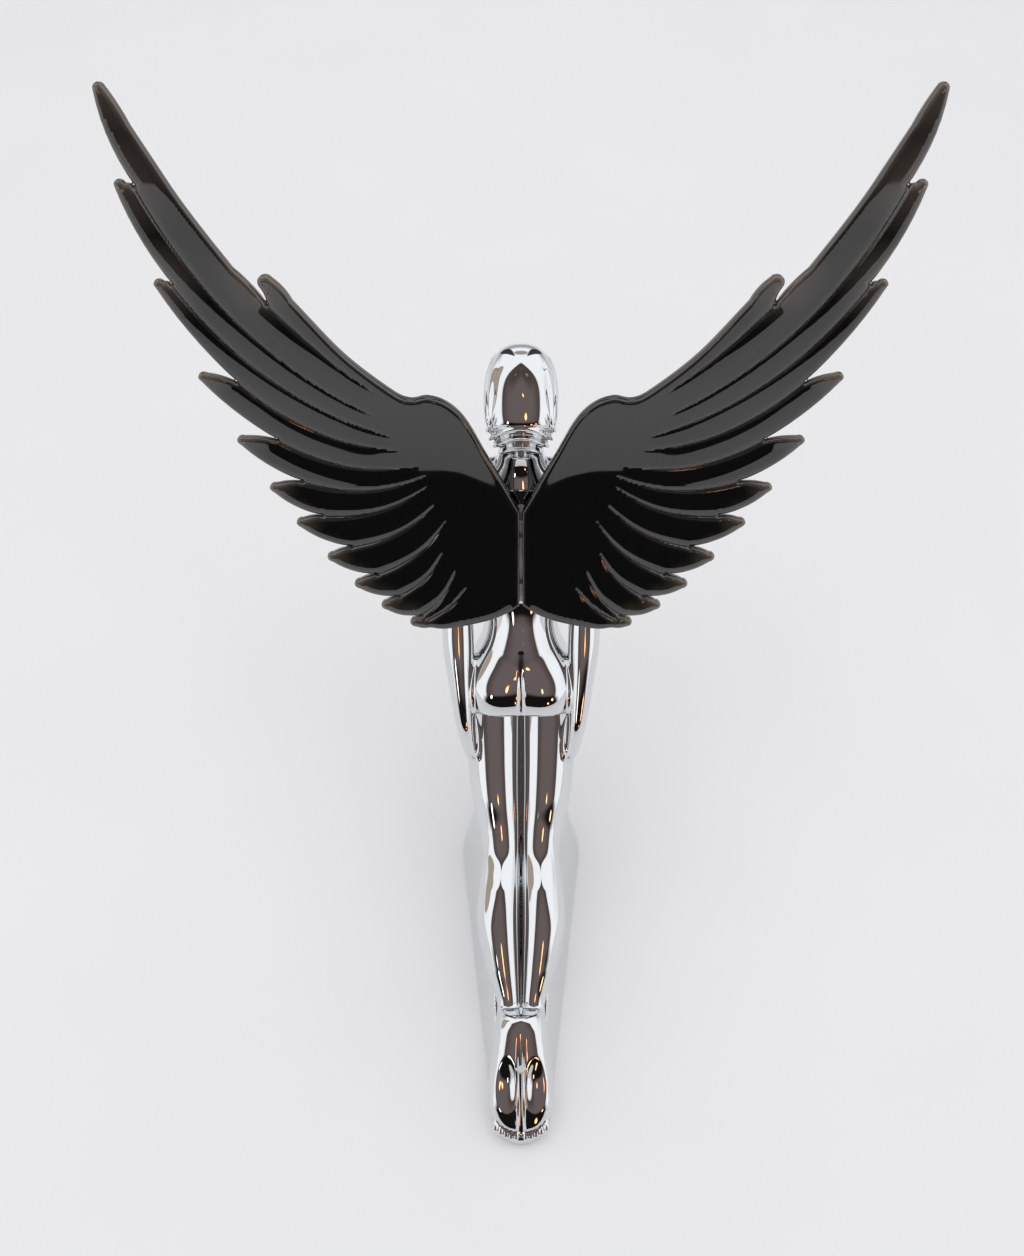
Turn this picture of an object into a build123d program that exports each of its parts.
"""Winged-figure hood ornament: chrome pedestal and figure, smoke-black wings, and the fasteners between them.

Millimetres. X is left-right, +Y is the way the figure faces, +Z is up. The origin is on the underside of the
base, on the plane of symmetry, under the middle of the figure's shins.
"""
from build123d import *
import os
from math import atan2, cos, degrees, radians, sin

os.makedirs("parts", exist_ok=True)

# ---------------------------------------------------------------- driving dimensions

# Pedestal: level outlines, each the hull of a rear circle and a front circle on the centre line,
# as (height, rear circle Y, rear radius, front circle Y, front radius).
BASE_LEVELS = [
    (0.0, -52.5, 9.5, 27.0, 19.0),
    (4.0, -52.5, 9.3, 27.0, 18.6),
    (14.0, -44.0, 8.2, 28.0, 16.4),
    (28.0, -24.0, 7.8, 30.6, 13.8),
    (44.0, 4.0, 7.6, 36.0, 11.4),
    (66.0, 36.0, 7.0, 46.0, 9.4),
]
CAVITY_LEVELS = [
    (0.0, -34.0, 5.5, 25.0, 14.5),
    (14.0, -28.0, 4.6, 25.0, 11.5),
    (26.0, -8.0, 4.0, 25.0, 8.8),
    (38.0, 14.0, 3.6, 27.0, 6.4),
]

# Seat between figure and pedestal: a plane rising towards the front.
SEAT_TOE_Y = -62.0
SEAT_TOE_Z = 4.0
SEAT_ANGLE = 28.5

# Base pad and hood studs.
PAD_THICKNESS = 1.5
PAD_INSET = 2.0
PAD_HOLE_R = 5.0
STUD_YS = {"rear": -28.0, "front": 22.0}
STUD_BOSS_R = 6.5
STUD_BOSS_TOPS = {"rear": 24.0, "front": 42.0}
INSERT_R = 4.2
INSERT_BORE_R = 2.5
INSERT_LENGTH = 12.0

# Screws that join figure and pedestal from below: place, and metal between the washer and the seat.
JOIN_YS = {"rear": -45.0, "front": 34.0}
JOIN_FLOORS = {"rear": 5.0, "front": 8.0}
JOIN_SCREW_R = 2.0
JOIN_HOLE_R = 2.2
JOIN_GRIP = 6.0              # length of thread in the figure
JOIN_HEAD_R = 3.5
JOIN_HEAD_HEIGHT = 4.0
JOIN_WASHER_R = 3.9
JOIN_WASHER_THICKNESS = 1.0
JOIN_ACCESS_R = 4.6
JOIN_SOCKET_R = 1.7
JOIN_SOCKET_DEPTH = 2.0

# Figure. Legs and arms are lofts of circles, as (X, Y, Z, radius). The trunk and the feet are lofts of
# ellipses, as (Y, Z, half width, half depth, lean of the section's axis above +Y).
LEG_STATIONS = [
    (3.5, -31.0, 20.5, 3.9),
    (4.9, -20.0, 26.5, 5.2),
    (5.8, -9.0, 32.6, 6.2),
    (5.9, 4.0, 40.2, 6.3),
    (6.7, 17.0, 48.0, 7.2),
    (7.6, 32.0, 59.0, 8.4),
    (8.0, 44.0, 71.0, 9.6),
]
ARM_STATIONS = [
    (16.4, 72.0, 130.0, 5.8),
    (17.4, 67.0, 117.0, 5.0),
    (16.8, 60.0, 104.0, 4.6),
    (16.2, 48.0, 90.0, 4.2),
    (15.2, 36.0, 77.0, 3.8),
    (13.6, 26.0, 66.0, 3.2),
]
WEB_STATIONS = ARM_STATIONS[1:5]
WEB_THICKNESS = 4.0
TRUNK_SECTIONS = [
    (30.0, 57.0, 12.5, 8.0, 46.0),
    (38.0, 66.5, 15.0, 9.8, 50.0),
    (47.0, 77.0, 16.4, 11.2, 55.0),
    (57.5, 96.0, 10.5, 8.2, 64.0),
    (66.0, 112.0, 13.2, 10.4, 65.0),
    (71.5, 125.0, 15.8, 9.2, 65.0),
    (74.0, 132.5, 10.5, 7.0, 65.0),
    (76.0, 139.0, 5.2, 5.6, 70.0),
    (77.5, 147.0, 5.0, 5.6, 75.0),
]
FOOT_SECTIONS = [
    (-29.0, 20.5, 6.0, 4.2, 39.0),
    (-35.0, 19.5, 7.0, 5.6, 39.0),
    (-44.0, 13.5, 8.4, 5.4, 39.0),
    (-53.0, 7.0, 8.9, 4.6, 39.0),
    (-60.0, 3.0, 5.5, 3.0, 39.0),
]
BUST_RADIUS = 6.4
BUST_CENTRE = (6.4, 75.0, 112.5)
HEAD_CENTRE = (0, 79.5, 153.5)
HEAD_RADII = (8.7, 11.6, 13.6)
HEAD_TILT = 12.0

# Wing surface in side view: the rear face rises from its foot, straight, then over an arc, then straight again.
WING_FOOT_Y = 42.5
WING_FOOT_Z = 98.5
WING_LOW_ANGLE = 63.0
WING_HIGH_ANGLE = 74.0
WING_ARC_START = 25.0
WING_ARC_END = 65.0
WING_TOP = 140.0
WING_REACH = 90.0
WING_CURVE_DEPTH = 8.0
WING_THICKNESS = 3.0
WING_DRAWING_ANGLE = 70.0    # slope of the plane that the outline is drawn on
WING_GAP = 0.8               # between the two wings at the spine

# Wing outline, as distances (out from the centre line, up along the wing). Each trailing feather runs
# from the notch below it out to its tip.
FEATHERS = [
    ((26.0, 8.0), (35.5, 10.6)),
    ((31.5, 13.6), (41.7, 16.8)),
    ((36.9, 19.7), (48.0, 24.4)),
    ((42.9, 27.4), (55.1, 34.0)),
    ((49.7, 35.9), (60.9, 43.5)),
    ((53.8, 45.0), (66.9, 56.3)),
    ((58.7, 56.0), (72.8, 72.9)),
    ((66.3, 71.1), (78.8, 95.4)),
    ((77.1, 94.7), (82.6, 117.0)),
    ((80.8, 115.8), (82.7, 135.7)),
]
LOWEST_FEATHER = ((18.7, 3.8), (28.5, 5.6))
LOWER_EDGE = [(0.4, 11.0), (7.1, 6.6), (18.7, 3.8)]
LEADING_EDGE = [(75.7, 121.0), (67.8, 106.2), (56.6, 90.1)]
LEADING_TIP = (55.9, 97.4)
LEADING_BOW = -0.3
TOP_EDGE = [(50.8, 90.8), (40.6, 78.0), (30.8, 69.0), (26.3, 66.6), (22.0, 67.2), (13.1, 61.1), (8.5, 52.4),
            (2.2, 40.2)]
SPINE_TOP = (0.4, 37.0)
TIP_RADIUS = 1.1
FEATHER_BOW = 1.4

# Bracket between the figure's back and the wings, drawn on the plane of its front face.
BRACKET_THICKNESS = 2.5
BRACKET_OUTLINE = [(0, 11.0), (18.0, 9.5), (29.0, 13.0), (29.0, 40.0), (12.0, 40.0), (0, 36.0)]
BRACKET_CORNER_R = 3.0
BACK_BOSS_WIDTH = 18.0
BACK_BOSS_HEIGHT = 26.0
BACK_BOSS_CORNER_R = 4.0
BACK_BOSS_REACH = 8.0
BACK_CLEARANCE = 1.0         # kept free of the back all round the bracket
BACK_CLEAR_REACH = 12.0
BRACKET_SCREW_UPS = {"lower": 17.0, "upper": 30.0}
BRACKET_SCREW_R = 2.0
BRACKET_SCREW_HEAD_R = 3.8
BRACKET_SCREW_HEAD_ANGLE = 90.0
BRACKET_SCREW_LENGTH = 11.0
BRACKET_SCREW_SOCKET_R = 1.2
BRACKET_SCREW_SOCKET_DEPTH = 1.2

# Wing screws, driven from the front into bosses on the wings' front faces.
WING_SCREW_OUT = 24.5
WING_SCREW_UPS = {"lower": 17.0, "upper": 35.0}
WING_BOSS_R = 3.2
BOSS_CLEARANCE = 0.1
WING_SCREW_R = 1.4
WING_SCREW_GRIP = 4.2
WING_SCREW_HEAD_R = 2.8
WING_SCREW_HEAD_HEIGHT = 1.8
WING_SCREW_SLOT = (3.6, 0.7)
WING_SCREW_SLOT_DEPTH = 0.8
WING_WASHER_R = 4.4
WING_WASHER_THICKNESS = 0.8


# ---------------------------------------------------------------- helpers

def seat_height(y):
    """Height of the seat plane between figure and pedestal at this Y."""
    return SEAT_TOE_Z + (y - SEAT_TOE_Y) * sin(radians(SEAT_ANGLE)) / cos(radians(SEAT_ANGLE))


def leaning_plane(x, y, z, angle):
    """Plane whose normal lies in the YZ plane, this many degrees above +Y."""
    return Plane(origin=(x, y, z), x_dir=(1, 0, 0), z_dir=(0, cos(radians(angle)), sin(radians(angle))))


def base_loft(levels):
    """Loft through the level outlines, each the hull of its two circles."""
    sections = []
    for height, rear_y, rear_r, front_y, front_r in levels:
        with BuildSketch(Plane.XY.offset(height)) as section:
            with Locations((0, rear_y)):
                Circle(rear_r)
            with Locations((0, front_y)):
                Circle(front_r)
            make_hull()
        sections.append(section.sketch)
    loft(sections)


def limb(stations, side):
    """Loft of circles square to the line through the stations, on one side of the body."""
    sections = []
    for index, (x, y, z, radius) in enumerate(stations):
        before = stations[max(index - 1, 0)]
        after = stations[min(index + 1, len(stations) - 1)]
        along = (side * (after[0] - before[0]), after[1] - before[1], after[2] - before[2])
        with BuildSketch(Plane(origin=(side * x, y, z), x_dir=(1, 0, 0), z_dir=along)) as section:
            Circle(radius)
        sections.append(section.sketch)
    loft(sections)


def elliptic_loft(stations):
    """Loft of ellipses across the plane of symmetry."""
    sections = []
    for y, z, half_width, half_depth, lean in stations:
        with BuildSketch(leaning_plane(0, y, z, lean)) as section:
            Ellipse(half_width, half_depth)
        sections.append(section.sketch)
    loft(sections)


def web_loft(stations):
    """Plate that fills the space between the arms and the body."""
    sections = []
    for index, (x, y, z, radius) in enumerate(stations):
        before = stations[max(index - 1, 0)]
        after = stations[min(index + 1, len(stations) - 1)]
        lean = degrees(atan2(after[2] - before[2], after[1] - before[1]))
        with BuildSketch(leaning_plane(0, y, z, lean)) as section:
            Rectangle(2 * x, WEB_THICKNESS)
        sections.append(section.sketch)
    loft(sections)


def wing_side_point(up, depth):
    """Point (Y, Z) of the wing's side view: up along the rear face, then this deep in front of it."""
    low = radians(WING_LOW_ANGLE)
    high = radians(WING_HIGH_ANGLE)
    radius = (WING_ARC_END - WING_ARC_START) / (high - low)
    straight = min(up, WING_ARC_START)
    angle = low + (min(max(up, WING_ARC_START), WING_ARC_END) - WING_ARC_START) / radius
    beyond = max(up - WING_ARC_END, 0)
    y = WING_FOOT_Y + straight * cos(low) + radius * (sin(angle) - sin(low)) + beyond * cos(high)
    z = WING_FOOT_Z + straight * sin(low) - radius * (cos(angle) - cos(low)) + beyond * sin(high)
    return (y + depth * sin(angle), z - depth * cos(angle))


def feather_edges(notch, tip, next_notch, bow=FEATHER_BOW):
    """Lower edge, round tip and upper edge of one feather of the wing outline."""
    start = Vector(*notch)
    end = Vector(*tip)
    along = (end - start).normalized()
    across = Vector(along.Y, -along.X)
    lower = end + (across - along) * TIP_RADIUS
    upper = end - (across + along) * TIP_RADIUS
    ThreePointArc(start, (start + lower) / 2 + across * bow, lower)
    ThreePointArc(lower, end, upper)
    Line(upper, Vector(*next_notch))


def mirrored(points):
    """The half outline and its mirror image, as one closed list of points."""
    return points + [(-x, y) for x, y in reversed(points) if x > 0]


def finish(builder, name):
    """Label one finished piece and write it."""
    builder.part.label = name
    export_step(builder.part, f"parts/{name}.step")


def back_plane(depth, angle=WING_LOW_ANGLE):
    """Plane facing the rear, this deep in front of the wings' rear faces at their roots."""
    y, z = wing_side_point(0, depth)
    return Plane(origin=(0, y, z), x_dir=(1, 0, 0), z_dir=(0, -sin(radians(angle)), cos(radians(angle))))


# ---------------------------------------------------------------- shared planes

SEAT_PLANE = Plane(
    origin=(0, SEAT_TOE_Y, SEAT_TOE_Z),
    x_dir=(1, 0, 0),
    z_dir=(0, -sin(radians(SEAT_ANGLE)), cos(radians(SEAT_ANGLE))),
)
WASHER_TOPS = {end: seat_height(y) - JOIN_FLOORS[end] for end, y in JOIN_YS.items()}

BRACKET_REAR = back_plane(WING_THICKNESS)
BRACKET_FRONT = back_plane(WING_THICKNESS + BRACKET_THICKNESS)


# ---------------------------------------------------------------- pedestal

with BuildPart() as cavity:
    base_loft(CAVITY_LEVELS)

with BuildPart() as pedestal:
    base_loft(BASE_LEVELS)
    add(cavity.part, mode=Mode.SUBTRACT)
    # Bosses inside the cavity hold the inserts.
    for end, y in STUD_YS.items():
        with BuildSketch():
            with Locations((0, y)):
                Circle(STUD_BOSS_R)
        extrude(amount=STUD_BOSS_TOPS[end])
    split(bisect_by=SEAT_PLANE, keep=Keep.BOTTOM)
    # Recess for the base pad, insert pockets, and the holes and access wells of the joining screws.
    with BuildSketch():
        for y, radius in (BASE_LEVELS[0][1:3], BASE_LEVELS[0][3:5]):
            with Locations((0, y)):
                Circle(radius - PAD_INSET)
        make_hull()
    extrude(amount=PAD_THICKNESS, mode=Mode.SUBTRACT)
    with BuildSketch():
        for y in STUD_YS.values():
            with Locations((0, y)):
                Circle(INSERT_R)
    extrude(amount=PAD_THICKNESS + INSERT_LENGTH, mode=Mode.SUBTRACT)
    for end, y in JOIN_YS.items():
        with BuildSketch():
            with Locations((0, y)):
                Circle(JOIN_HOLE_R)
        extrude(amount=WASHER_TOPS[end] + 2 * JOIN_FLOORS[end], mode=Mode.SUBTRACT)
        with BuildSketch():
            with Locations((0, y)):
                Circle(JOIN_ACCESS_R)
        extrude(amount=WASHER_TOPS[end], mode=Mode.SUBTRACT)
finish(pedestal, "pedestal")


# ---------------------------------------------------------------- base pad and threaded inserts

with BuildPart() as base_pad:
    with BuildSketch():
        for y, radius in (BASE_LEVELS[0][1:3], BASE_LEVELS[0][3:5]):
            with Locations((0, y)):
                Circle(radius - PAD_INSET)
        make_hull()
        for y in STUD_YS.values():
            with Locations((0, y)):
                Circle(PAD_HOLE_R, mode=Mode.SUBTRACT)
    extrude(amount=PAD_THICKNESS)
finish(base_pad, "base_pad")

for end, y in STUD_YS.items():
    with BuildPart() as insert:
        with BuildSketch(Plane.XY.offset(PAD_THICKNESS)):
            with Locations((0, y)):
                Circle(INSERT_R)
                Circle(INSERT_BORE_R, mode=Mode.SUBTRACT)
        extrude(amount=INSERT_LENGTH)
    finish(insert, f"stud_insert_{end}")


# ---------------------------------------------------------------- screws and washers that hold the figure

for end, y in JOIN_YS.items():
    washer_bottom = WASHER_TOPS[end] - JOIN_WASHER_THICKNESS
    with BuildPart() as washer:
        with BuildSketch(Plane.XY.offset(washer_bottom)):
            with Locations((0, y)):
                Circle(JOIN_WASHER_R)
                Circle(JOIN_SCREW_R, mode=Mode.SUBTRACT)
        extrude(amount=JOIN_WASHER_THICKNESS)
    finish(washer, f"figure_washer_{end}")
    with BuildPart() as screw:
        with BuildSketch(Plane.XY.offset(washer_bottom - JOIN_HEAD_HEIGHT)):
            with Locations((0, y)):
                Circle(JOIN_HEAD_R)
        extrude(amount=JOIN_HEAD_HEIGHT)
        with BuildSketch(Plane.XY.offset(washer_bottom)):
            with Locations((0, y)):
                Circle(JOIN_SCREW_R)
        extrude(amount=JOIN_WASHER_THICKNESS + JOIN_FLOORS[end] + JOIN_GRIP)
        with BuildSketch(Plane.XY.offset(washer_bottom - JOIN_HEAD_HEIGHT)):
            with Locations((0, y)):
                RegularPolygon(JOIN_SOCKET_R, 6)
        extrude(amount=JOIN_SOCKET_DEPTH, mode=Mode.SUBTRACT)
    finish(screw, f"figure_screw_{end}")


# ---------------------------------------------------------------- figure

with BuildPart() as head:
    Sphere(1)
    scale(by=HEAD_RADII)

with BuildPart() as figure:
    elliptic_loft(TRUNK_SECTIONS)
    elliptic_loft(FOOT_SECTIONS)
    for side in (-1, 1):
        limb(LEG_STATIONS, side)
        limb(ARM_STATIONS, side)
        with Locations((side * BUST_CENTRE[0], BUST_CENTRE[1], BUST_CENTRE[2])):
            Sphere(BUST_RADIUS)
    web_loft(WEB_STATIONS)
    with Locations(Location(HEAD_CENTRE, (HEAD_TILT, 0, 0))):
        add(head.part)
    # A flat boss on the back carries the bracket.
    with BuildSketch(BRACKET_FRONT):
        with Locations((0, sum(BRACKET_SCREW_UPS.values()) / 2)):
            RectangleRounded(BACK_BOSS_WIDTH, BACK_BOSS_HEIGHT, BACK_BOSS_CORNER_R)
    extrude(amount=-BACK_BOSS_REACH)
    split(bisect_by=SEAT_PLANE, keep=Keep.TOP)
    # Nothing of the back stands proud where the bracket and the wing roots lie.
    with BuildSketch(BRACKET_FRONT):
        with BuildLine():
            Polyline(mirrored(BRACKET_OUTLINE), close=True)
        make_face()
        offset(amount=BACK_CLEARANCE)
    extrude(amount=BACK_CLEAR_REACH, mode=Mode.SUBTRACT)
    with BuildSketch(BRACKET_FRONT):
        for up in BRACKET_SCREW_UPS.values():
            with Locations((0, up)):
                Circle(BRACKET_SCREW_R)
    extrude(amount=BRACKET_THICKNESS - BRACKET_SCREW_LENGTH, mode=Mode.SUBTRACT)
    for end, y in JOIN_YS.items():
        with BuildSketch(Plane.XY.offset(WASHER_TOPS[end])):
            with Locations((0, y)):
                Circle(JOIN_SCREW_R)
        extrude(amount=JOIN_FLOORS[end] + JOIN_GRIP, mode=Mode.SUBTRACT)
finish(figure, "figure")


# ---------------------------------------------------------------- bracket and its screws

with BuildPart() as bracket:
    with BuildSketch(BRACKET_FRONT) as plate:
        with BuildLine():
            Polyline(mirrored(BRACKET_OUTLINE), close=True)
        make_face()
        fillet(plate.vertices(), BRACKET_CORNER_R)
        for side in (-1, 1):
            for up in WING_SCREW_UPS.values():
                with Locations((side * WING_SCREW_OUT, up)):
                    Circle(WING_BOSS_R + BOSS_CLEARANCE, mode=Mode.SUBTRACT)
    extrude(amount=BRACKET_THICKNESS)
    for up in BRACKET_SCREW_UPS.values():
        with Locations(BRACKET_REAR * Location((0, up, 0))):
            CounterSinkHole(BRACKET_SCREW_R, BRACKET_SCREW_HEAD_R, BRACKET_THICKNESS, BRACKET_SCREW_HEAD_ANGLE)
finish(bracket, "wing_bracket")

for level, up in BRACKET_SCREW_UPS.items():
    with BuildPart() as screw:
        # A countersunk head flush with the bracket's rear face, then the shank.
        with BuildSketch(BRACKET_REAR):
            with Locations((0, up)):
                Circle(BRACKET_SCREW_HEAD_R)
        extrude(amount=BRACKET_SCREW_R - BRACKET_SCREW_HEAD_R, taper=BRACKET_SCREW_HEAD_ANGLE / 2)
        with BuildSketch(BRACKET_REAR):
            with Locations((0, up)):
                Circle(BRACKET_SCREW_R)
        extrude(amount=-BRACKET_SCREW_LENGTH)
        with BuildSketch(BRACKET_REAR):
            with Locations((0, up)):
                RegularPolygon(BRACKET_SCREW_SOCKET_R, 6)
        extrude(amount=-BRACKET_SCREW_SOCKET_DEPTH, mode=Mode.SUBTRACT)
    finish(screw, f"bracket_screw_{level}")


# ---------------------------------------------------------------- wings

with BuildPart() as wing_right:
    # A curved plate ...
    with BuildSketch(Plane.YZ.offset(WING_GAP / 2)):
        with BuildLine():
            for depth in (0, WING_THICKNESS):
                Line(wing_side_point(0, depth), wing_side_point(WING_ARC_START, depth))
                middle = (WING_ARC_START + WING_ARC_END) / 2
                bend = [wing_side_point(up, depth) for up in (WING_ARC_START, middle, WING_ARC_END)]
                ThreePointArc(*bend)
                Line(wing_side_point(WING_ARC_END, depth), wing_side_point(WING_TOP, depth))
            for up in (0, WING_TOP):
                Line(wing_side_point(up, 0), wing_side_point(up, WING_THICKNESS))
        make_face()
    extrude(amount=WING_REACH)
    # ... cut to the feathered outline.
    with BuildSketch(back_plane(0, WING_DRAWING_ANGLE)):
        with BuildLine():
            Spline(LOWER_EDGE)
            feather_edges(*LOWEST_FEATHER, FEATHERS[0][0])
            for feather, above in zip(FEATHERS, FEATHERS[1:]):
                feather_edges(*feather, above[0])
            feather_edges(*FEATHERS[-1], LEADING_EDGE[0])
            Spline(LEADING_EDGE)
            feather_edges(LEADING_EDGE[-1], LEADING_TIP, TOP_EDGE[0], LEADING_BOW)
            Spline(TOP_EDGE)
            Polyline(TOP_EDGE[-1], SPINE_TOP, LOWER_EDGE[0])
        make_face()
    extrude(amount=2 * WING_CURVE_DEPTH, both=True, mode=Mode.INTERSECT)
    # Bosses on the front face stand in the bracket's holes and take the wing screws.
    with BuildSketch(BRACKET_FRONT):
        for up in WING_SCREW_UPS.values():
            with Locations((WING_SCREW_OUT, up)):
                Circle(WING_BOSS_R)
    extrude(amount=BRACKET_THICKNESS + WING_THICKNESS / 2)
    with BuildSketch(BRACKET_FRONT):
        for up in WING_SCREW_UPS.values():
            with Locations((WING_SCREW_OUT, up)):
                Circle(WING_SCREW_R)
    extrude(amount=WING_SCREW_GRIP, mode=Mode.SUBTRACT)
finish(wing_right, "wing_right")

with BuildPart() as wing_left:
    mirror(wing_right.part, about=Plane.YZ)
finish(wing_left, "wing_left")


# ---------------------------------------------------------------- wing screws and washers

for side_name, side in (("left", -1), ("right", 1)):
    for level, up in WING_SCREW_UPS.items():
        place = (side * WING_SCREW_OUT, up)
        with BuildPart() as washer:
            with BuildSketch(BRACKET_FRONT):
                with Locations(place):
                    Circle(WING_WASHER_R)
                    Circle(WING_SCREW_R, mode=Mode.SUBTRACT)
            extrude(amount=-WING_WASHER_THICKNESS)
        finish(washer, f"wing_washer_{side_name}_{level}")
        with BuildPart() as screw:
            with BuildSketch(BRACKET_FRONT.offset(-WING_WASHER_THICKNESS)):
                with Locations(place):
                    Circle(WING_SCREW_HEAD_R)
            extrude(amount=-WING_SCREW_HEAD_HEIGHT)
            with BuildSketch(BRACKET_FRONT.offset(-WING_WASHER_THICKNESS)):
                with Locations(place):
                    Circle(WING_SCREW_R)
            extrude(amount=WING_WASHER_THICKNESS + WING_SCREW_GRIP)
            with BuildSketch(BRACKET_FRONT.offset(-WING_WASHER_THICKNESS - WING_SCREW_HEAD_HEIGHT)):
                with Locations(place):
                    Rectangle(*WING_SCREW_SLOT)
            extrude(amount=WING_SCREW_SLOT_DEPTH, mode=Mode.SUBTRACT)
        finish(screw, f"wing_screw_{side_name}_{level}")
